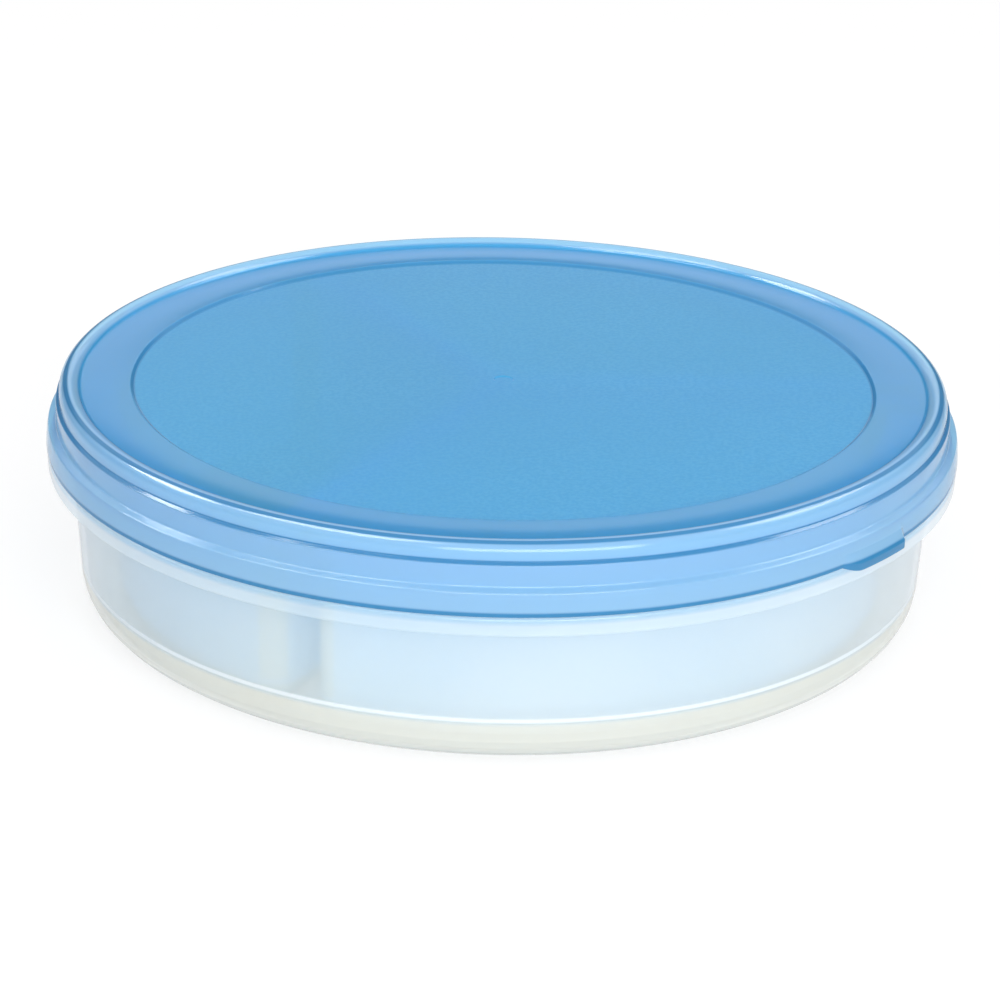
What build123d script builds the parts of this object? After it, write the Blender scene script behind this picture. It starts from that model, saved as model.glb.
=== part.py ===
"""Round storage tub with a snap-fit lid and a lift-out tray of three pockets.

Units are millimetres and +Z is up. The origin is the centre of the tub's base,
on the surface that the tub stands on. The front of the object faces -Y.
"""
from build123d import *
from math import asin, degrees
import os

# Tub: a shallow dish whose wall leans out a little. A collar runs around it under
# the lid, and a thin rim stands above the collar for the lid to snap over.
TUB_WALL = 1.3
TUB_BASE_RADIUS = 92.8
TUB_BASE_CORNER = 8.0
WALL_TOP_RADIUS = 94.6
COLLAR_RADIUS = 99.8
COLLAR_BOTTOM = 31.8
COLLAR_TOP = 36.3
COLLAR_WALL = 1.4
RIM_RADIUS = 95.4
RIM_WALL = 1.4
RIM_TOP = 48.4
RIDGE_HEIGHT = 39.6
RIDGE_SIZE = 0.6
RECESS_RADIUS = 78.0
RECESS_DEPTH = 0.6

# Lid: a frosted centre panel set a little below a flat ring, a round bead
# around the ring, and a stepped skirt that reaches down to the tub's collar.
LID_WALL = 1.2
LID_RADIUS = 100.0
LID_BOTTOM = 36.6
SKIRT_STEP_HEIGHT = 41.2
SHOULDER_RADIUS = 97.8
CREASE_HEIGHT = 46.4
BEAD_RADIUS = 2.3
BEAD_CENTRE_RADIUS = 94.7
BEAD_CENTRE_HEIGHT = 47.9
RING_HEIGHT = 48.7
PANEL_RADIUS = 80.7
PANEL_DROP = 0.7
PANEL_EDGE = 0.8
LIP_HEIGHT = 1.6
LIP_INNER_RADIUS = 96.6
GATE_RADIUS = 2.0
GATE_DEPTH = 0.25

# Pull tab: a short flare of the skirt that hangs a little below its lower edge,
# outside the tub's collar.
TAB_ANGLE = 49.4
TAB_SPAN = 11.7
TAB_ROOT_HEIGHT = 39.6
TAB_RADIUS = 101.7
TAB_INNER_RADIUS = 100.3
TAB_BOTTOM = 34.5
TAB_CORNER = 1.6

# Tray: three equal pockets with rounded corners, hung from one flat web. The
# pockets stand a narrow gap apart.
POCKETS = 3
TRAY_WALL = 1.1
TRAY_BOTTOM = 1.6
TRAY_TOP = 44.8
TRAY_RADIUS = 92.4
TRAY_EDGE_HEIGHT = 3.2
POCKET_RADIUS = 85.0
POCKET_GAP = 7.0
POCKET_CORNER = 5.0
POCKET_FLOOR_CORNER = 4.8
FIRST_GAP_ANGLE = -28.8


def build_tub():
    """The tub, turned about Z from its half section."""
    inner_wall_top = WALL_TOP_RADIUS - TUB_WALL
    inner_base = TUB_BASE_RADIUS - TUB_WALL
    ledge_bottom = COLLAR_TOP - COLLAR_WALL
    collar_inside = COLLAR_RADIUS - COLLAR_WALL
    rim_inside = RIM_RADIUS - RIM_WALL
    with BuildPart() as tub:
        with BuildSketch(Plane.XZ):
            with BuildLine():
                Polyline(
                    (0, 0),
                    (TUB_BASE_RADIUS, 0),
                    (WALL_TOP_RADIUS, ledge_bottom),
                    (collar_inside, ledge_bottom),
                    (collar_inside, COLLAR_BOTTOM),
                    (COLLAR_RADIUS, COLLAR_BOTTOM),
                    (COLLAR_RADIUS, COLLAR_TOP),
                    (RIM_RADIUS, COLLAR_TOP),
                    (RIM_RADIUS, RIM_TOP),
                    (rim_inside, RIM_TOP),
                    (rim_inside, COLLAR_TOP + COLLAR_WALL),
                    (inner_wall_top, COLLAR_TOP - COLLAR_WALL),
                    (inner_base, TUB_WALL),
                    (0, TUB_WALL),
                    (0, 0),
                )
            make_face()
            corners = vertices()
            fillet(corners.sort_by_distance((TUB_BASE_RADIUS, 0))[0], TUB_BASE_CORNER)
            corners = vertices()
            fillet(corners.sort_by_distance((inner_base, TUB_WALL))[0], TUB_BASE_CORNER - TUB_WALL)
            corners = vertices()
            fillet(corners.sort_by_distance((COLLAR_RADIUS, COLLAR_TOP))[0], 0.6)
            corners = vertices()
            fillet(corners.sort_by_distance((COLLAR_RADIUS, COLLAR_BOTTOM))[0], 0.5)
            corners = vertices()
            fillet(corners.sort_by_distance((RIM_RADIUS, RIM_TOP))[0], 0.6)
            corners = vertices()
            fillet(corners.sort_by_distance((rim_inside, RIM_TOP))[0], 0.6)
        revolve(axis=Axis.Z)
        # Low ridge around the rim, which the lid's lip catches under.
        with BuildSketch(Plane.XZ):
            with BuildLine():
                Polyline(
                    (RIM_RADIUS - 0.4, RIDGE_HEIGHT - 1.2),
                    (RIM_RADIUS, RIDGE_HEIGHT - 1.0),
                    (RIM_RADIUS + RIDGE_SIZE, RIDGE_HEIGHT - 0.2),
                    (RIM_RADIUS + RIDGE_SIZE, RIDGE_HEIGHT + 0.2),
                    (RIM_RADIUS, RIDGE_HEIGHT + 1.4),
                    (RIM_RADIUS - 0.4, RIDGE_HEIGHT + 1.6),
                    (RIM_RADIUS - 0.4, RIDGE_HEIGHT - 1.2),
                )
            make_face()
        revolve(axis=Axis.Z)
        # Shallow recess that leaves a ring for the tub to stand on.
        with BuildSketch(Plane.XY):
            Circle(RECESS_RADIUS)
        extrude(amount=RECESS_DEPTH, mode=Mode.SUBTRACT)
    return tub


def build_lid():
    """The lid, turned about Z from its half section, with its pull tab."""
    panel_height = RING_HEIGHT - PANEL_DROP
    panel_under = panel_height - LID_WALL
    ring_under = RING_HEIGHT - LID_WALL
    bead_centre = (BEAD_CENTRE_RADIUS, BEAD_CENTRE_HEIGHT)
    bead_outside = BEAD_CENTRE_RADIUS + BEAD_RADIUS
    rise = RING_HEIGHT - BEAD_CENTRE_HEIGHT
    ring_end = BEAD_CENTRE_RADIUS - (BEAD_RADIUS**2 - rise**2) ** 0.5
    bead_sweep = 180 - degrees(asin(rise / BEAD_RADIUS))
    channel = BEAD_RADIUS - LID_WALL
    shoulder_inside = SHOULDER_RADIUS - LID_WALL
    skirt_inside = LID_RADIUS - LID_WALL
    with BuildPart() as lid:
        with BuildSketch(Plane.XZ):
            with BuildLine():
                # Top side, from the middle out and down to the lower edge.
                Polyline(
                    (0, panel_height),
                    (PANEL_RADIUS, panel_height),
                    (PANEL_RADIUS + PANEL_EDGE, RING_HEIGHT),
                    (ring_end, RING_HEIGHT),
                )
                crown = CenterArc(bead_centre, BEAD_RADIUS, 0, bead_sweep, mode=Mode.PRIVATE)
                Spline(
                    crown @ 0,
                    crown @ 0.33,
                    crown @ 0.67,
                    crown @ 1,
                    tangents=(crown % 0, crown % 1),
                )
                Polyline(
                    (bead_outside, BEAD_CENTRE_HEIGHT),
                    (bead_outside, CREASE_HEIGHT),
                    (SHOULDER_RADIUS - 0.1, CREASE_HEIGHT - 0.5),
                    (SHOULDER_RADIUS, SKIRT_STEP_HEIGHT + 0.3),
                    (LID_RADIUS - 0.5, SKIRT_STEP_HEIGHT - 0.3),
                    (LID_RADIUS, LID_BOTTOM),
                )
                # Underside, back to the middle.
                Polyline(
                    (LID_RADIUS, LID_BOTTOM),
                    (LIP_INNER_RADIUS, LID_BOTTOM),
                    (LIP_INNER_RADIUS, LID_BOTTOM + LIP_HEIGHT),
                    (skirt_inside - 0.1, LID_BOTTOM + LIP_HEIGHT + 0.9),
                    (skirt_inside - 0.3, SKIRT_STEP_HEIGHT - LID_WALL - 0.2),
                    (shoulder_inside, SKIRT_STEP_HEIGHT - LID_WALL + 0.4),
                    (shoulder_inside - 0.1, CREASE_HEIGHT - 1.0),
                    (BEAD_CENTRE_RADIUS + channel, CREASE_HEIGHT - 0.6),
                    (BEAD_CENTRE_RADIUS + channel, BEAD_CENTRE_HEIGHT),
                )
                CenterArc(bead_centre, channel, 0, 180)
                Polyline(
                    (BEAD_CENTRE_RADIUS - channel, BEAD_CENTRE_HEIGHT),
                    (BEAD_CENTRE_RADIUS - channel, ring_under),
                    (PANEL_RADIUS + PANEL_EDGE + 0.6, ring_under),
                    (PANEL_RADIUS + 0.6, panel_under),
                    (0, panel_under),
                    (0, panel_height),
                )
            make_face()
            corners = vertices()
            fillet(corners.sort_by_distance((LID_RADIUS, LID_BOTTOM))[0], 0.5)
            corners = vertices()
            fillet(corners.sort_by_distance((LID_RADIUS - 0.5, SKIRT_STEP_HEIGHT - 0.3))[0], 0.6)
            corners = vertices()
            fillet(corners.sort_by_distance((SHOULDER_RADIUS, SKIRT_STEP_HEIGHT + 0.3))[0], 0.5)
            corners = vertices()
            fillet(corners.sort_by_distance((SHOULDER_RADIUS - 0.1, CREASE_HEIGHT - 0.5))[0], 0.35)
            corners = vertices()
            fillet(corners.sort_by_distance((PANEL_RADIUS + PANEL_EDGE, RING_HEIGHT))[0], 0.5)
        revolve(axis=Axis.Z)
        # Dimple of the moulding gate in the middle of the panel.
        with BuildSketch(Plane.XY.offset(panel_height - GATE_DEPTH)):
            Circle(GATE_RADIUS)
        extrude(amount=GATE_DEPTH, taper=-40, mode=Mode.SUBTRACT)
        # Tab, swept about Z over its span, with its two lower corners rounded.
        start = TAB_ANGLE - TAB_SPAN / 2 - 90
        tab_plane = Plane.XZ.rotated((0, 0, start))
        with BuildSketch(tab_plane):
            with BuildLine():
                Polyline(
                    (skirt_inside, TAB_ROOT_HEIGHT),
                    (LID_RADIUS - 0.35, TAB_ROOT_HEIGHT),
                    (TAB_RADIUS, LID_BOTTOM),
                    (TAB_RADIUS, TAB_BOTTOM),
                    (TAB_INNER_RADIUS, TAB_BOTTOM),
                    (TAB_INNER_RADIUS, LID_BOTTOM),
                    (skirt_inside, LID_BOTTOM),
                    (skirt_inside, TAB_ROOT_HEIGHT),
                )
            make_face()
        revolve(axis=Axis.Z, revolution_arc=TAB_SPAN)
        tab_foot = faces().sort_by(Axis.Z)[0]
        ends = tab_foot.edges().filter_by(GeomType.LINE)
        fillet(ends, TAB_CORNER)
    return lid


def pocket_outline(inset):
    """Sketch of all the pockets, each drawn smaller by the inset on every side."""
    with BuildSketch() as outline:
        Circle(POCKET_RADIUS - inset)
        for index in range(POCKETS):
            angle = FIRST_GAP_ANGLE + index * 360 / POCKETS
            middle = Vector(0, -POCKET_RADIUS / 2, 0).rotate(Axis.Z, angle)
            with Locations(Location((middle.X, middle.Y), angle)):
                Rectangle(POCKET_GAP + 2 * inset, POCKET_RADIUS + 0.02, mode=Mode.SUBTRACT)
        fillet(vertices(), POCKET_CORNER - inset)
    return outline.sketch


def build_tray():
    """The tray: pocket cups below a web that is open over each pocket."""
    outside = pocket_outline(0)
    inside = pocket_outline(TRAY_WALL)
    web_bottom = TRAY_TOP - TRAY_WALL
    with BuildPart() as tray:
        # Cups.
        with BuildSketch(Plane.XY.offset(TRAY_BOTTOM)):
            add(outside)
        extrude(amount=TRAY_TOP - TRAY_BOTTOM)
        bottom_edges = faces().sort_by(Axis.Z)[:POCKETS].edges()
        fillet(bottom_edges, POCKET_FLOOR_CORNER)
        # Web with its edge turned down.
        with BuildSketch(Plane.XY.offset(web_bottom)):
            Circle(TRAY_RADIUS)
        extrude(amount=TRAY_WALL)
        with BuildSketch(Plane.XY.offset(TRAY_TOP - TRAY_EDGE_HEIGHT)):
            Circle(TRAY_RADIUS)
            Circle(TRAY_RADIUS - TRAY_WALL, mode=Mode.SUBTRACT)
        extrude(amount=TRAY_EDGE_HEIGHT - TRAY_WALL / 2)
        fillet(edges().sort_by(Axis.Z)[-1], 0.6)
    with BuildPart() as hollows:
        with BuildSketch(Plane.XY.offset(TRAY_BOTTOM + TRAY_WALL)):
            add(inside)
        extrude(amount=TRAY_TOP - TRAY_BOTTOM)
        floor_edges = faces().sort_by(Axis.Z)[:POCKETS].edges()
        fillet(floor_edges, POCKET_FLOOR_CORNER - TRAY_WALL)
    with BuildPart() as finished:
        add(tray.part)
        add(hollows.part, mode=Mode.SUBTRACT)
    return finished


os.makedirs("parts", exist_ok=True)

tub = build_tub()
tub.part.label = "tub"
export_step(tub.part, "parts/tub.step")

lid = build_lid()
lid.part.label = "lid"
export_step(lid.part, "parts/lid.step")

tray = build_tray()
tray.part.label = "tray"
export_step(tray.part, "parts/tray.step")
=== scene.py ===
"""Round storage tub with a blue snap-fit lid: looks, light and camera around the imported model."""
import math

import bmesh
import bpy
from mathutils import Matrix, Vector
from mathutils.geometry import tessellate_polygon


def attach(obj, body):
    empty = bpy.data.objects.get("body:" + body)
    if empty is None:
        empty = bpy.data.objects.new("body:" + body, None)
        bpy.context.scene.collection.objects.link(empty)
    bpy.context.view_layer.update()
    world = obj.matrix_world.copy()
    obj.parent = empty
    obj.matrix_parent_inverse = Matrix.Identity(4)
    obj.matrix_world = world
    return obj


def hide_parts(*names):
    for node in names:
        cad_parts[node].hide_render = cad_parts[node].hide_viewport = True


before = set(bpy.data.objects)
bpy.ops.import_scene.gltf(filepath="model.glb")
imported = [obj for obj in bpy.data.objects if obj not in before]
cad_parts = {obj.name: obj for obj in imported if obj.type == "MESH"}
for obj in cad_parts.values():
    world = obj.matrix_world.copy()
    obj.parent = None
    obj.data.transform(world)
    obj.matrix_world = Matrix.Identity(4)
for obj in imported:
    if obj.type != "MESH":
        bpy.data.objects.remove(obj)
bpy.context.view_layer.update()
scene = bpy.context.scene
MM = 0.001

# ------------------------------------------------------- profiles, in millimetres


def arc(centre, radius, start, end, steps):
    """Points on an arc from one angle to another, in degrees."""
    cx, cz = centre
    angles = [math.radians(start + (end - start) * i / steps) for i in range(steps + 1)]
    return [(cx + radius * math.cos(a), cz + radius * math.sin(a)) for a in angles]


def rounded(corners, steps=5, support=0.25):
    """A profile through corners (r, z, fillet radius). With support, a long straight run gets a
    point near each end, so that smooth shading stays flat along it."""
    points = []
    for i, (r, z, fillet) in enumerate(corners):
        here = Vector((r, z))
        if not fillet or i in (0, len(corners) - 1):
            points.append(here)
            continue
        before = (Vector(corners[i - 1][:2]) - here).normalized()
        after = (Vector(corners[i + 1][:2]) - here).normalized()
        half = math.acos(max(-1, min(1, before.dot(after)))) / 2
        reach = fillet / math.tan(half)
        middle = here + (before + after).normalized() * (fillet / math.sin(half))
        a = here + before * reach - middle
        b = here + after * reach - middle
        turn = math.atan2(a.x * b.y - a.y * b.x, a.dot(b))
        for k in range(steps + 1):
            t = turn * k / steps
            c, s = math.cos(t), math.sin(t)
            points.append(middle + Vector((a.x * c - a.y * s, a.x * s + a.y * c)))
    held = []
    for a, b in zip(points, points[1:]):
        held.append(a)
        run = (b - a).length
        if support and run > 4 * support:
            held += [a + (b - a) * (support / run), b - (b - a) * (support / run)]
    held.append(points[-1])
    return [(p.x, p.y) for p in held]


def azimuths(steps, finer=()):
    """Angles from the front (-Y) towards +X, with extra ones inside the finer ranges."""
    angles = {round(360 * i / steps, 3) for i in range(steps)}
    for low, high, count in finer:
        angles |= {round((low + (high - low) * i / count) % 360, 3) for i in range(count + 1)}
    ordered = sorted(angles)
    kept = [ordered[0]]
    for a in ordered[1:]:
        if a - kept[-1] > 0.03:
            kept.append(a)
    return kept


def lathe(name, profile, angles, other=None, weight=None):
    """A closed solid turned about Z. The profile starts and ends on the axis. Where weight is
    above 0 at an azimuth, the section moves that far towards the other profile."""
    bm = bmesh.new()
    top = bm.verts.new((0, 0, profile[0][1] * MM))
    foot = bm.verts.new((0, 0, profile[-1][1] * MM))
    columns = []
    for angle in angles:
        a = math.radians(angle)
        w = weight(angle) if weight else 0.0
        column = []
        for k in range(1, len(profile) - 1):
            r, z = profile[k]
            if w:
                r += w * (other[k][0] - r)
                z += w * (other[k][1] - z)
            column.append(bm.verts.new((r * math.sin(a) * MM, -r * math.cos(a) * MM, z * MM)))
        columns.append(column)
    for here, there in zip(columns, columns[1:] + columns[:1]):
        bm.faces.new((top, here[0], there[0]))
        for k in range(len(here) - 1):
            bm.faces.new((here[k], here[k + 1], there[k + 1], there[k]))
        bm.faces.new((here[-1], foot, there[-1]))
    bmesh.ops.recalc_face_normals(bm, faces=bm.faces)
    return solid(name, bm)


def solid(name, bm):
    """A smooth-shaded object in the scene from a finished mesh."""
    mesh = bpy.data.meshes.new(name)
    bm.to_mesh(mesh)
    bm.free()
    mesh.polygons.foreach_set("use_smooth", [True] * len(mesh.polygons))
    piece = bpy.data.objects.new(name, mesh)
    scene.collection.objects.link(piece)
    return piece


# ------------------------------------------------------------------------- lid

# Sizes in millimetres. The tab's start, full depth and end and its corner are azimuths in degrees.
PANEL_RADIUS = 80.7
RING_HEIGHT = 48.7
PANEL_HEIGHT = 48.0
LID_BOTTOM = 36.0
SHOULDER_HEIGHT = 46.3
BEAD_INNER = 92.6
CREST_RADIUS = 95.6
GATE_RADIUS = 2.0
GATE_DEPTH = 0.25
TAB_START = 43.5
TAB_FULL = 46.6
TAB_END = 55.25
TAB_CORNER = 0.45
TAB_RADIUS = 101.2
TAB_BOTTOM = 34.5


def lid_profile(tab):
    """Half section of the lid, from the middle of its top to the middle of its underside. With
    tab, the lower edge hangs down as the pull tab. Both sections have the same points."""
    top = rounded([
        (0, PANEL_HEIGHT - GATE_DEPTH, 0),
        (GATE_RADIUS, PANEL_HEIGHT - GATE_DEPTH, 0.15),
        (GATE_RADIUS + 0.2, PANEL_HEIGHT, 0.1),
        (PANEL_RADIUS, PANEL_HEIGHT, 0.5),
        (PANEL_RADIUS + 0.8, RING_HEIGHT, 0.5),
        (92.3, RING_HEIGHT, 0),
    ])
    crown = arc((94.7, 47.9), 2.3, 157, 0, 18)
    side = rounded([
        (97.0, 47.9, 0),
        (97.0, 46.35, 0.12),
        (97.7, 45.95, 0.3),
        (97.85, 41.45, 0.45),
        (99.5, 40.9, 0.45),
        (99.75, 39.6, 0),
    ])
    if tab:
        edge = [
            (99.75, 39.6, 0),
            (99.95, 38.6, 0.3),
            (TAB_RADIUS, 36.2, 0.5),
            (TAB_RADIUS, TAB_BOTTOM, 0.4),
            (100.25, TAB_BOTTOM, 0.3),
            (100.2, LID_BOTTOM, 0.1),
            (98.4, LID_BOTTOM, 0),
        ]
    else:
        edge = [
            (99.75, 39.6, 0),
            (99.83, 38.6, 0.3),
            (99.95, 37.4, 0.3),
            (100.0, LID_BOTTOM, 0.3),
            (99.4, LID_BOTTOM, 0.05),
            (98.9, LID_BOTTOM, 0.05),
            (98.4, LID_BOTTOM, 0),
        ]
    edge = rounded(edge, steps=4, support=0)
    lip = rounded([
        (98.4, LID_BOTTOM, 0),
        (96.6, LID_BOTTOM, 0.3),
        (96.6, 38.2, 0.2),
        (98.7, 39.1, 0.3),
        (98.5, 39.8, 0.3),
        (96.6, 40.4, 0.3),
        (96.5, 45.4, 0.3),
        (95.8, 45.8, 0.2),
        (95.8, 47.9, 0),
    ])
    channel = arc((94.7, 47.9), 1.1, 0, 180, 10)
    under = rounded([
        (93.6, 47.9, 0),
        (93.6, 47.5, 0.2),
        (PANEL_RADIUS + 1.4, 47.5, 0.4),
        (PANEL_RADIUS + 0.6, 46.8, 0.4),
        (0, 46.8, 0),
    ])
    return top[:-1] + crown[:-1] + side[:-1] + edge[:-1] + lip[:-1] + channel[:-1] + under


def tab_weight(angle):
    """How far the lower edge has become the tab: a slow start on the left, a quick end."""
    if not TAB_START < angle < TAB_END:
        return 0.0
    start = min(1.0, (angle - TAB_START) / (TAB_FULL - TAB_START))
    end = min(1.0, (TAB_END - angle) / TAB_CORNER)
    return math.sin(start * math.pi / 2) * math.sqrt(1 - (1 - end) ** 2)


def build_lid():
    """The lid and its tab in one mesh, with more sections where the tab starts and ends."""
    finer = ((TAB_START, TAB_FULL, 14), (TAB_END - 0.6, TAB_END, 9))
    piece = lathe("blue_lid", lid_profile(False), azimuths(360, finer), lid_profile(True), tab_weight)
    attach(piece, "lid")
    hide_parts("lid")
    return piece


# ------------------------------------------------------------------------- tub

COLLAR_TOP = 35.7
COLLAR_BOTTOM = 31.8
COLLAR_INNER = 98.4
TUB_BAND_TOP = 10.3


def build_tub():
    """The dish with its rim, its collar and a ring to stand on."""
    profile = rounded([
        (0, 1.3, 0),
        (91.5, 1.3, 6.7),
        (93.3, 34.9, 0.8),
        (94.0, 37.7, 0.8),
        (94.0, 48.4, 0.6),
        (95.4, 48.4, 0.6),
        (95.4, 41.0, 0.3),
        (96.0, 39.8, 0.2),
        (96.0, 39.4, 0.2),
        (95.4, 38.6, 0.3),
        (95.4, COLLAR_TOP, 0.4),
        (99.8, COLLAR_TOP, 0.6),
        (99.8, COLLAR_BOTTOM, 0.5),
        (COLLAR_INNER, COLLAR_BOTTOM, 0.4),
        (COLLAR_INNER, 34.4, 0.3),
        (94.65, 34.4, 0.4),
        (92.8, 0, 8.0),
        (78.0, 0, 0.3),
        (77.6, 0.6, 0.3),
        (0, 0.6, 0),
    ], steps=6)
    piece = lathe("clear_tub", profile, azimuths(360))
    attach(piece, "tub")
    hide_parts("tub")
    return piece


# ------------------------------------------------------------------------ tray

# The first gap, the corner's angle and its half width are azimuths in degrees.
TRAY_RADIUS = 92.4
TRAY_TOP = 44.8
TRAY_BOTTOM = 1.6
TRAY_WALL = 1.1
POCKETS = 3
POCKET_RADIUS = 85.0
HALF_GAP = 3.5
POCKET_CORNER = 5.0
FLOOR_CORNER = 4.8
FIRST_GAP = -28.8
CORNER_ANGLE = 4.4
CORNER_HALF_WIDTH = 1.5
MOUTH_ROUND = 0.5
EDGE_ROUND = 0.7
EDGE_BOTTOM = 41.6
EDGE_BEVEL = 0.15
HOLD = 0.4
TRAY_BAND_TOP = 6.8


def pocket_outline(index, inset):
    """One pocket seen from above, counter-clockwise, drawn smaller by the inset."""
    outer = POCKET_RADIUS - inset
    gap = HALF_GAP + inset
    corner = max(0.3, POCKET_CORNER - inset)
    cos30 = math.cos(math.radians(30))
    swing = math.degrees(math.acos((gap + corner) / (outer - corner))) - 30
    points = arc((0, 0), outer, -swing, swing, 60)[:-1]
    a = math.radians(swing)
    centre = ((outer - corner) * math.cos(a), (outer - corner) * math.sin(a))
    points += arc(centre, corner, swing, 150, 12)
    points += arc(((gap + corner) / cos30, 0), corner, 150, 210, 10)
    points += arc((centre[0], -centre[1]), corner, 210, 360 - swing, 12)[:-1]
    turn = math.radians(FIRST_GAP + 60 + 120 * index - 90)
    c, s = math.cos(turn), math.sin(turn)
    return [(x * c - y * s, x * s + y * c) for x, y in points]


def ring_faces(bm, lower, upper):
    """Quads between two loops of the same length."""
    for k in range(len(lower)):
        j = (k + 1) % len(lower)
        bm.faces.new((lower[k], lower[j], upper[j], upper[k]))


def loop(bm, points, height):
    """A level loop of vertices, from millimetres."""
    return [bm.verts.new((x * MM, y * MM, height * MM)) for x, y in points]


def circle(radius, steps=360):
    return [
        (radius * math.cos(2 * math.pi * i / steps), radius * math.sin(2 * math.pi * i / steps))
        for i in range(steps)
    ]


def web(bm, outer, holes):
    """Flat faces between an outer loop and the loops of its holes."""
    loops = [outer] + [list(reversed(h)) for h in holes]
    flat = [v for one in loops for v in one]
    for a, b, c in tessellate_polygon([[v.co.copy() for v in one] for one in loops]):
        if len({a, b, c}) == 3:
            bm.faces.new((flat[a], flat[b], flat[c]))


def cup(bm, index, start_inset, start_height, floor_height, corner, lip):
    """One side of a pocket's wall and floor. Returns its top loop."""
    rings = []
    if lip:
        for k in range(5):
            t = math.radians(90 * k / 4)
            rings.append((start_inset - lip * (1 - math.sin(t)), start_height - lip * (1 - math.cos(t))))
    else:
        rings.append((start_inset, start_height))
    rings.append((start_inset, rings[-1][1] - HOLD))
    rings.append((start_inset, floor_height + corner + HOLD))
    for k in range(9):
        t = math.radians(90 * k / 8)
        rings.append((start_inset + corner * (1 - math.cos(t)), floor_height + corner * (1 - math.sin(t))))
    loops = [loop(bm, pocket_outline(index, i), h) for i, h in rings]
    for upper, lower in zip(loops, loops[1:]):
        ring_faces(bm, lower, upper)
    middle = Vector((0, 0, 0))
    for v in loops[-1]:
        middle += v.co
    hub = bm.verts.new(middle / len(loops[-1]))
    for k in range(len(loops[-1])):
        bm.faces.new((loops[-1][k], loops[-1][(k + 1) % len(loops[-1])], hub))
    return loops[0]


def build_tray():
    """Three pockets under one web with a turned-down edge."""
    bm = bmesh.new()
    mouths = [
        cup(bm, i, TRAY_WALL, TRAY_TOP, TRAY_BOTTOM + TRAY_WALL, FLOOR_CORNER - TRAY_WALL, MOUTH_ROUND)
        for i in range(POCKETS)
    ]
    outsides = [cup(bm, i, 0.0, TRAY_TOP - TRAY_WALL, TRAY_BOTTOM, FLOOR_CORNER, 0) for i in range(POCKETS)]
    inner = TRAY_RADIUS - TRAY_WALL
    edge = arc((TRAY_RADIUS - EDGE_ROUND, TRAY_TOP - EDGE_ROUND), EDGE_ROUND, 90, 0, 4)
    edge += [(TRAY_RADIUS, EDGE_BOTTOM + 2 * EDGE_BEVEL), (TRAY_RADIUS - EDGE_BEVEL, EDGE_BOTTOM)]
    edge += [(inner + EDGE_BEVEL, EDGE_BOTTOM), (inner, EDGE_BOTTOM + 0.2)]
    edge += [(inner, TRAY_TOP - TRAY_WALL)]
    loops = [loop(bm, circle(r), z) for r, z in edge]
    for upper, lower in zip(loops, loops[1:]):
        ring_faces(bm, lower, upper)
    web(bm, loops[0], mouths)
    web(bm, loops[-1], outsides)
    bmesh.ops.recalc_face_normals(bm, faces=bm.faces)
    piece = solid("pocket_tray", bm)
    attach(piece, "tray")
    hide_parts("tray")
    return piece


# ---------------------------------------------------------------- node helpers


class Nodes:
    """Short calls for making and linking shader nodes in one material."""

    def __init__(self, name):
        self.material = bpy.data.materials.new(name)
        self.material.use_nodes = True
        self.tree = self.material.node_tree
        self.tree.nodes.clear()

    def add(self, kind, inputs=None, **settings):
        node = self.tree.nodes.new(kind)
        for key, value in settings.items():
            setattr(node, key, value)
        for key, value in (inputs or {}).items():
            self.put(node.inputs[key], value)
        return node

    def put(self, socket, value):
        if hasattr(value, "links"):
            self.tree.links.new(value, socket)
        elif hasattr(value, "outputs"):
            self.tree.links.new(value.outputs[0], socket)
        else:
            socket.default_value = value

    def math(self, operation, a, b=0.0, c=0.0, clamp=False):
        node = self.add("ShaderNodeMath", operation=operation, use_clamp=clamp)
        self.put(node.inputs[0], a)
        self.put(node.inputs[1], b)
        self.put(node.inputs[2], c)
        return node.outputs[0]

    def ramp(self, value, start, end, low=0.0, high=1.0):
        """A smooth step from low to high as value goes from start to end."""
        node = self.add(
            "ShaderNodeMapRange",
            {"From Min": start, "From Max": end, "To Min": low, "To Max": high},
            interpolation_type="SMOOTHSTEP",
        )
        self.put(node.inputs["Value"], value)
        return node.outputs["Result"]

    def noise(self, vector, scale, detail=3.0, roughness=0.5, distortion=0.0):
        node = self.add(
            "ShaderNodeTexNoise",
            {"Scale": scale, "Detail": detail, "Roughness": roughness, "Distortion": distortion},
        )
        self.put(node.inputs["Vector"], vector)
        return node.outputs["Fac"]

    def mix_colour(self, fac, a, b):
        node = self.add("ShaderNodeMix", data_type="RGBA")
        self.put(node.inputs["Factor"], fac)
        self.put(node.inputs[6], a)
        self.put(node.inputs[7], b)
        return node.outputs[2]

    def bump(self, height, strength, distance, normal=None):
        node = self.add("ShaderNodeBump", {"Strength": strength, "Distance": distance})
        self.put(node.inputs["Height"], height)
        if normal is not None:
            self.put(node.inputs["Normal"], normal)
        return node.outputs["Normal"]

    def place(self):
        """Object coordinates, the radius from the axis and the height, in metres."""
        coords = self.add("ShaderNodeTexCoord").outputs["Object"]
        parts = self.add("ShaderNodeSeparateXYZ", {"Vector": coords})
        x, y, z = parts.outputs
        square = self.math("ADD", self.math("MULTIPLY", x, x), self.math("MULTIPLY", y, y))
        return coords, self.math("SQRT", square), z

    def finish(self, surface):
        out = self.add("ShaderNodeOutputMaterial")
        self.put(out.inputs["Surface"], surface)
        return self.material


def linear(colour):
    """An sRGB colour in 0 to 255 as linear RGBA."""
    parts = [v / 255 for v in colour]
    parts = [v / 12.92 if v <= 0.04045 else ((v + 0.055) / 1.055) ** 2.4 for v in parts]
    return (*parts, 1.0)


# ------------------------------------------------------------------- materials

PLASTIC_IOR = 1.45

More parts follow.
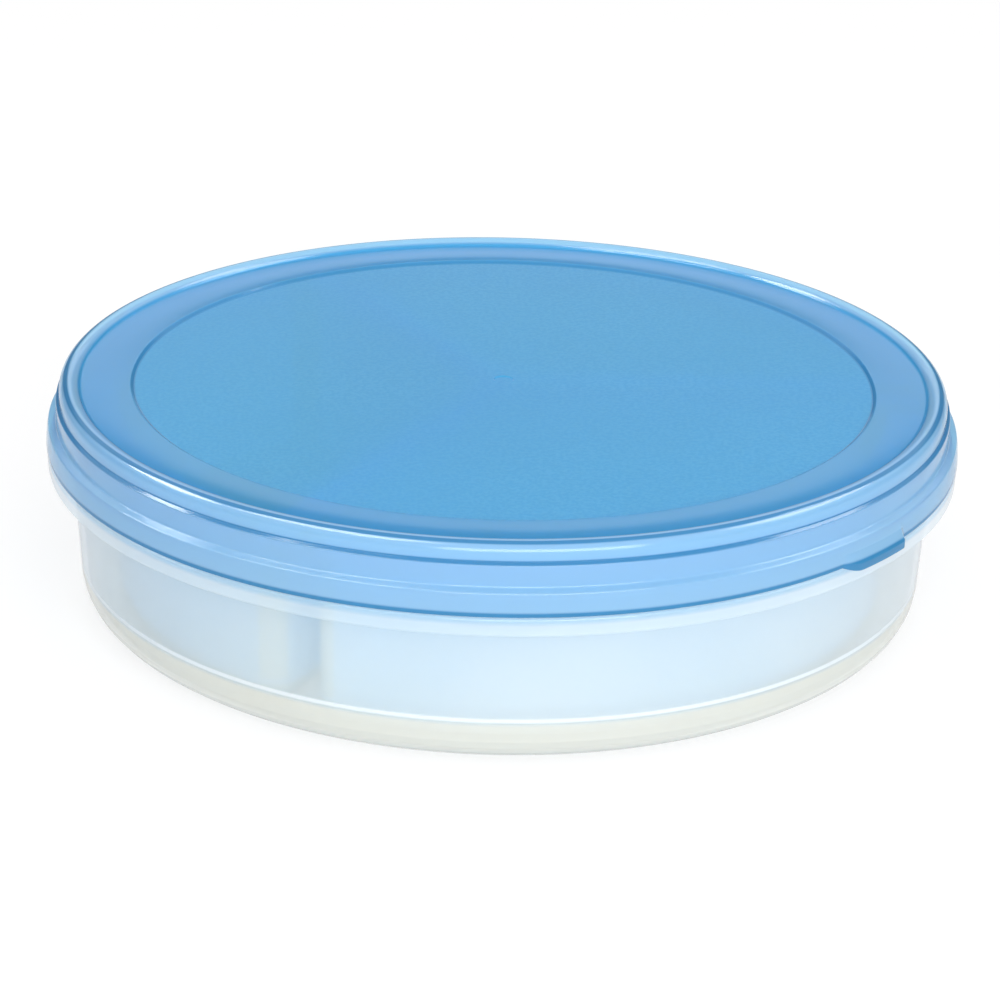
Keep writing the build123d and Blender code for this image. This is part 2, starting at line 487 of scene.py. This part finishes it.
# sRGB colours, 0 to 255
BLUE = (76, 189, 228)
BLUE_CLOUD = (82, 193, 231)
FROST_GRAIN = (68, 183, 226)
# painted light: pale tints for the bead and skirt stand in for reflection and light from behind
BEAD_PAINTED_LIGHT = (180, 224, 245)
SKIRT_PAINTED_LIGHT = (180, 218, 240)
# painted shade: darker blue for the lid's creases and edges seen edge-on
PAINTED_SHADE_BLUE = (64, 140, 182)
WINDOW_BLUE = (112, 200, 242)
# painted light: a paler see-through colour for the bead and skirt
PAINTED_PALE_WINDOW = (176, 222, 245)
NATURAL = (241, 249, 253)
NATURAL_CLOUD = (249, 253, 254)
# painted light: cream for the band lit from the floor below and for the pocket corners, partly the
# plastic's own cream tone
CREAM_PAINTED_LIGHT = (242, 238, 226)
# painted shade: a darker foot at the base
FOOT_SHADE = (216, 216, 207)
# painted highlight: a bright line along the top of the band
PAINTED_HIGHLIGHT_LINE = (240, 244, 245)
# painted light: blue on the top of the collar, standing in for light from the lid
COLLAR_PAINTED_BLUE_LIGHT = (190, 226, 250)
NATURAL_WINDOW = (250, 253, 254)


def cloudy(n, tint, clear_tint, clear, rough, normal, gloss_share=1.0):
    """Cloudy plastic: a clear share that shows what is behind it, a milky share that scatters
    light back and through, and a gloss that grows at glancing angles. A ray meets the milk
    where it enters a wall and leaves by the other face unchanged."""
    front = n.add("ShaderNodeBsdfDiffuse", {"Color": tint, "Normal": normal})
    through = n.add("ShaderNodeBsdfTranslucent", {"Color": tint, "Normal": normal})
    milk = n.add("ShaderNodeMixShader", {0: 0.5, 1: front, 2: through})
    window = n.add("ShaderNodeBsdfTransparent", {"Color": clear_tint})
    leaving = n.add("ShaderNodeNewGeometry").outputs["Backfacing"]
    base = n.add("ShaderNodeMixShader", {0: n.math("MAXIMUM", clear, leaving), 1: milk, 2: window})
    gloss = n.add("ShaderNodeBsdfGlossy", {"Roughness": rough, "Normal": normal})
    fresnel = n.add("ShaderNodeFresnel", {"IOR": PLASTIC_IOR, "Normal": normal})
    shine = n.math("MULTIPLY", n.math("MULTIPLY", fresnel, gloss_share), n.math("SUBTRACT", 1.0, leaving))
    return n.add("ShaderNodeMixShader", {0: shine, 1: base, 2: gloss})


def band(n, value, middle, half, soft):
    """1 within half of the middle, falling to 0 over the soft distance beyond it."""
    off = n.math("ABSOLUTE", n.math("SUBTRACT", value, middle))
    return n.ramp(off, half + soft, half)


def edge_on(n, normal, power=3.0):
    """0 where a wall is seen face on, rising to 1 where it is seen along its length."""
    facing = n.add("ShaderNodeLayerWeight", {"Blend": 0.5, "Normal": normal}).outputs["Facing"]
    return n.math("POWER", facing, power)


def lid_material():
    """Blue plastic with a frosted panel, a bead and skirt painted pale to stand in for reflected light and
    light shining through, and painted shade: darker blue in the creases, along the lower edge and at the
    panel's border.
    """
    n = Nodes("blue_plastic")
    coords, radius, height = n.place()
    panel = n.ramp(radius, (PANEL_RADIUS + 0.5) * MM, (PANEL_RADIUS - 0.3) * MM)
    skirt = n.ramp(height, (SHOULDER_HEIGHT + 0.3) * MM, (SHOULDER_HEIGHT - 0.3) * MM)
    bead = n.ramp(radius, BEAD_INNER * MM, (BEAD_INNER + 0.6) * MM)
    bead = n.math("MULTIPLY", bead, n.math("SUBTRACT", 1.0, skirt))
    cloud = n.noise(coords, 14.0, 3.0)
    grain = n.noise(coords, 1100.0, 2.0, 0.6)
    peel = n.noise(coords, 160.0, 2.0)
    tint = n.mix_colour(n.ramp(cloud, 0.3, 0.7), linear(BLUE), linear(BLUE_CLOUD))
    tint = n.mix_colour(n.math("MULTIPLY", panel, n.ramp(grain, 0.35, 0.65)), tint, linear(FROST_GRAIN))
    # painted highlight and light through: the bead and skirt are tinted pale
    tint = n.mix_colour(bead, tint, linear(BEAD_PAINTED_LIGHT))
    tint = n.mix_colour(skirt, tint, linear(SKIRT_PAINTED_LIGHT))
    # painted shade: darker blue along the lower edge, the shoulder crease, the bead's crest and the panel's
    # border, where walls are seen edge-on; the clear share drops there too
    bottom_edge_shade = n.ramp(height, (LID_BOTTOM + 1.3) * MM, (LID_BOTTOM + 0.7) * MM)
    crease_shade = band(n, height, SHOULDER_HEIGHT * MM, 0.2 * MM, 0.4 * MM)
    crease_shade = n.math("MULTIPLY", crease_shade, n.ramp(radius, 96.5 * MM, 96.8 * MM))
    crest_shade = band(n, radius, CREST_RADIUS * MM, 0.3 * MM, 0.4 * MM)
    crest_shade = n.math("MULTIPLY", crest_shade, n.ramp(height, 49.0 * MM, 49.6 * MM))
    border_shade = n.math("MULTIPLY", band(n, radius, (PANEL_RADIUS + 0.3) * MM, 0.2 * MM, 0.4 * MM), 0.6)
    painted_shade = n.math("MAXIMUM", n.math("MAXIMUM", bottom_edge_shade, crease_shade), n.math("MAXIMUM", crest_shade, border_shade))
    tint = n.mix_colour(painted_shade, tint, linear(PAINTED_SHADE_BLUE))
    frost = n.math("MULTIPLY", panel, grain)
    normal = n.bump(peel, 0.15, 0.1 * MM)
    normal = n.bump(frost, 0.6, 0.08 * MM, normal)
    rough = n.ramp(panel, 0.0, 1.0, 0.12, 0.6)
    clear = n.ramp(panel, 0.0, 1.0, 0.35, 0.2)
    clear = n.math("MULTIPLY", clear, n.math("SUBTRACT", 1.0, n.math("MULTIPLY", painted_shade, 0.8)))
    # painted light: the see-through colour is paler on the bead and skirt
    painted_pale = n.math("MAXIMUM", bead, skirt)
    window = n.mix_colour(painted_pale, linear(WINDOW_BLUE), linear(PAINTED_PALE_WINDOW))
    gloss_share = n.ramp(panel, 0.0, 1.0, 1.0, 0.5)
    return n.finish(cloudy(n, tint, window, clear, rough, normal, gloss_share))


def natural_material(name, clear, rough, band_top, pockets=False):
    """Natural plastic: clearer where a wall is seen face on; cream and cloudy below the band's top, partly
    the plastic's own tone and partly painted light from the floor below; a painted highlight line along the
    band's top and painted shade at the foot. With pockets, their upright corners are painted cream and
    cloudy too, standing in for light scattered along edge-on walls."""
    n = Nodes(name)
    coords, radius, height = n.place()
    cloud = n.noise(coords, 18.0, 3.0)
    peel = n.noise(coords, 140.0, 2.0)
    normal = n.bump(peel, 0.15, 0.1 * MM)
    tint = n.mix_colour(n.ramp(cloud, 0.3, 0.7), linear(NATURAL), linear(NATURAL_CLOUD))
    # painted light: the band below its top is cream and cloudier, partly the plastic's own tone, partly
    # light from the floor below
    cream_painted_light = n.ramp(height, band_top, band_top - 1.2 * MM)
    if pockets:
        # painted light: the pocket corners are painted cream and cloudy, standing in for light scattered
        # along the edge-on walls
        corner = pocket_corners(n, coords, radius)
        cloudy_share = n.math("MAXIMUM", n.math("MULTIPLY", cream_painted_light, 0.7), corner)
        cream_painted_light = n.math("MAXIMUM", cream_painted_light, corner)
    else:
        cloudy_share = n.math("MULTIPLY", cream_painted_light, 0.6)
    tint = n.mix_colour(cream_painted_light, tint, linear(CREAM_PAINTED_LIGHT))
    # painted shade: darker towards the bottom, at the foot
    tint = n.mix_colour(n.ramp(height, 4.5 * MM, 1.5 * MM), tint, linear(FOOT_SHADE))
    # painted highlight: a bright, less clear line just above the band's top
    highlight_line = band(n, height, band_top + 0.3 * MM, 0.2 * MM, 0.5 * MM)
    tint = n.mix_colour(highlight_line, tint, linear(PAINTED_HIGHLIGHT_LINE))
    share = n.math("MULTIPLY", clear, n.math("SUBTRACT", 1.0, edge_on(n, normal)))
    share = n.math("MULTIPLY", share, n.math("SUBTRACT", 1.0, n.math("MAXIMUM", cloudy_share, highlight_line)))
    # painted light: the top of the collar is tinted towards the lid's blue, standing in for blue light from
    # the lid
    glow = n.ramp(radius, (COLLAR_INNER - 0.1) * MM, (COLLAR_INNER + 0.2) * MM)
    glow = n.math("MULTIPLY", glow, n.ramp(height, (COLLAR_TOP - 1.7) * MM, (COLLAR_TOP - 0.5) * MM))
    tint = n.mix_colour(glow, tint, linear(COLLAR_PAINTED_BLUE_LIGHT))
    return n.finish(cloudy(n, tint, linear(NATURAL_WINDOW), share, rough, normal))


def pocket_corners(n, coords, radius):
    """1 on the upright corners on both sides of each gap between pockets."""
    parts = n.add("ShaderNodeSeparateXYZ", {"Vector": coords})
    front = n.math("MULTIPLY", parts.outputs["Y"], -1.0)
    turn = n.math("ARCTAN2", parts.outputs["X"], front)
    sector = 2 * math.pi / POCKETS
    turn = n.math("DIVIDE", n.math("SUBTRACT", turn, math.radians(FIRST_GAP)), sector)
    off = n.math("ABSOLUTE", n.math("SUBTRACT", turn, n.math("ROUND", turn)))
    off = n.math("MULTIPLY", off, math.degrees(sector))
    upright = band(n, off, CORNER_ANGLE, CORNER_HALF_WIDTH, 0.3)
    outer = n.ramp(radius, (POCKET_RADIUS - 6.5) * MM, (POCKET_RADIUS - 5.5) * MM)
    return n.math("MULTIPLY", upright, outer)


def wear(piece, material):
    """Puts one material on a piece."""
    piece.data.materials.clear()
    piece.data.materials.append(material)


# ----------------------------------------------------------------------- stage


FLOOR_HALF = 6.0
FLOOR_GLOW = 0.7


def stage():
    """A wide pale floor that glows a little, so that it stays near white."""
    n = Nodes("pale_floor")
    coords, radius, height = n.place()
    speck = n.noise(coords, 40.0, 2.0)
    tint = n.mix_colour(speck, (0.86, 0.86, 0.86, 1), (0.88, 0.88, 0.88, 1))
    paint = n.add("ShaderNodeBsdfDiffuse", {"Color": tint})
    glow = n.add("ShaderNodeEmission", {"Color": (1, 1, 1, 1), "Strength": 1.0})
    material = n.finish(n.add("ShaderNodeMixShader", {0: FLOOR_GLOW, 1: paint, 2: glow}))
    mesh = bpy.data.meshes.new("floor")
    corners = [(x * FLOOR_HALF, y * FLOOR_HALF, 0) for x, y in ((-1, -1), (1, -1), (1, 1), (-1, 1))]
    mesh.from_pydata(corners, [], [(0, 1, 2, 3)])
    mesh.materials.append(material)
    floor = bpy.data.objects.new("floor", mesh)
    scene.collection.objects.link(floor)


LIGHT_AIM_HEIGHT = 0.03


def area(name, direction, distance, width, height, power, sheen_only=False):
    """A soft box that looks at the middle of the object. The direction is an azimuth from the
    front towards +X and an elevation, in degrees."""
    azimuth, elevation = direction
    a, e = math.radians(azimuth), math.radians(elevation)
    away = Vector((math.sin(a) * math.cos(e), -math.cos(a) * math.cos(e), math.sin(e)))
    data = bpy.data.lights.new(name, "AREA")
    data.shape = "RECTANGLE"
    data.size = width
    data.size_y = height
    data.energy = power
    lamp = bpy.data.objects.new(name, data)
    lamp.visible_diffuse = not sheen_only
    lamp.visible_transmission = not sheen_only
    lamp.location = Vector((0, 0, LIGHT_AIM_HEIGHT)) + away * distance
    lamp.rotation_euler = (-away).to_track_quat("-Z", "Y").to_euler()
    scene.collection.objects.link(lamp)


SKY_LOW = 0.33
SKY_HIGH = 0.47
SKY_DIM = 0.2
SKY_BRIGHT = 1.2


def sky():
    """A soft dome: dim near the horizon, bright overhead."""
    world = bpy.data.worlds.new("studio")
    world.use_nodes = True
    tree = world.node_tree
    back = tree.nodes["Background"]
    coords = tree.nodes.new("ShaderNodeTexCoord")
    parts = tree.nodes.new("ShaderNodeSeparateXYZ")
    ramp = tree.nodes.new("ShaderNodeMapRange")
    ramp.interpolation_type = "SMOOTHSTEP"
    ramp.inputs["From Min"].default_value = SKY_LOW
    ramp.inputs["From Max"].default_value = SKY_HIGH
    ramp.inputs["To Min"].default_value = SKY_DIM
    ramp.inputs["To Max"].default_value = SKY_BRIGHT
    tree.links.new(coords.outputs["Generated"], parts.inputs[0])
    tree.links.new(parts.outputs["Z"], ramp.inputs["Value"])
    tree.links.new(ramp.outputs["Result"], back.inputs["Strength"])
    back.inputs["Color"].default_value = (1, 1, 1, 1)
    scene.world = world


def lights():
    """One soft box and the dome light the object. The other boxes are seen only as sheen."""
    area("front", (10, 20), distance=1.2, width=1.0, height=0.5, power=14)
    area("strip", (180, 22), distance=1.5, width=0.8, height=0.13, power=0.35, sheen_only=True)
    area("key", (-62, 60), distance=1.2, width=0.8, height=0.4, power=12, sheen_only=True)
    area("side", (-106, 41), distance=1.2, width=0.5, height=0.3, power=9, sheen_only=True)
    area("fill", (99, 45), distance=1.2, width=0.8, height=0.4, power=9, sheen_only=True)


CAMERA_PIVOT_HEIGHT = 0.0366
CAMERA_DISTANCE = 0.6996
CAMERA_ELEVATION = 21.16
CAMERA_ROLL = 1.28
CAMERA_TARGET = (-0.0002, 0.0, 0.0192)
CAMERA_LENS = 113.76


def camera():
    """The eye in front of the object and above it, turned slightly about its own axis."""
    e = math.radians(CAMERA_ELEVATION)
    height = CAMERA_PIVOT_HEIGHT + CAMERA_DISTANCE * math.sin(e)
    place = Vector((0, -CAMERA_DISTANCE * math.cos(e), height))
    forward = (Vector(CAMERA_TARGET) - place).normalized()
    right = forward.cross(Vector((0, 0, 1))).normalized()
    up = right.cross(forward)
    turn = math.radians(CAMERA_ROLL)
    x = right * math.cos(turn) + up * math.sin(turn)
    y = up * math.cos(turn) - right * math.sin(turn)
    data = bpy.data.cameras.new("view")
    data.lens = CAMERA_LENS
    data.sensor_width = 36.0
    data.clip_start = 0.01
    data.clip_end = 50.0
    eye = bpy.data.objects.new("view", data)
    eye.matrix_world = Matrix.Translation(place) @ Matrix((x, y, -forward)).transposed().to_4x4()
    scene.collection.objects.link(eye)
    scene.camera = eye


tub_plastic = natural_material("natural_plastic", clear=0.62, rough=0.15, band_top=TUB_BAND_TOP * MM)
tray_plastic = natural_material(
    "satin_plastic", clear=0.2, rough=0.25, band_top=TRAY_BAND_TOP * MM, pockets=True
)
wear(build_lid(), lid_material())
wear(build_tub(), tub_plastic)
wear(build_tray(), tray_plastic)
stage()
sky()
lights()
camera()
scene.view_settings.view_transform = "Standard"
scene.view_settings.look = "None"
scene.cycles.max_bounces = 32
scene.cycles.diffuse_bounces = 24
scene.cycles.transmission_bounces = 32
scene.cycles.glossy_bounces = 12
scene.cycles.transparent_max_bounces = 24
